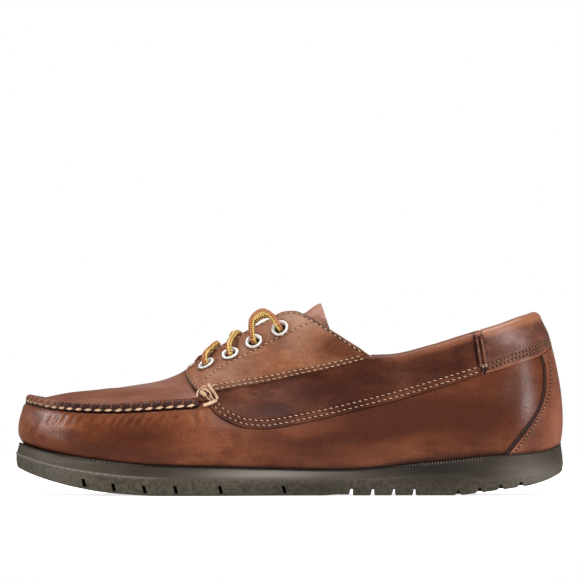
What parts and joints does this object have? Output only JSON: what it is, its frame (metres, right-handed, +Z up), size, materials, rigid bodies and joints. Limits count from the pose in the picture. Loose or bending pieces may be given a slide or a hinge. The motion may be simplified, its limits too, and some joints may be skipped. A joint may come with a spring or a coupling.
{
  "type": "laced camp moccasin",
  "caption": "Low laced leather moccasin with a puckered apron seam, eyelet facings, a soft rolled collar, a heel counter and a thick lugged rubber sole; a left shoe standing empty.",
  "frame": {"origin": "on the floor, at the middle of the sole's length and width", "axes": "+X from the toe to the heel, +Z up, -Y towards the shoe's outer side"},
  "size_m": [0.3, 0.1064, 0.1048],
  "materials": {
    "vamp_leather": "waxed pull-up",
    "facing_leather": "waxed pull-up",
    "heel_leather": "waxed pull-up",
    "tab_leather": "waxed pull-up",
    "tongue_leather": "waxed pull-up",
    "sock": "matte",
    "rubber": "matte",
    "eyelet_metal": "satin",
    "lace": "woven"
  },
  "bodies": {
    "root": {"outsole": "rubber", "upper": "vamp_leather", "insole": "sock", "tongue": "tongue_leather", "facing_lateral": "facing_leather", "facing_medial": "facing_leather", "heel_band": "heel_leather", "heel_counter": "heel_leather", "side_tab_lateral": "tab_leather", "side_tab_medial": "tab_leather", "eyelet_lateral_1": "eyelet_metal", "eyelet_lateral_2": "eyelet_metal", "eyelet_lateral_3": "eyelet_metal", "eyelet_lateral_4": "eyelet_metal", "eyelet_medial_1": "eyelet_metal", "eyelet_medial_2": "eyelet_metal", "eyelet_medial_3": "eyelet_metal", "eyelet_medial_4": "eyelet_metal", "lace_bar": "lace", "lace_crossing": "lace", "lace_loop_lateral": "lace", "lace_loop_medial": "lace"}
  },
  "joints": []
}
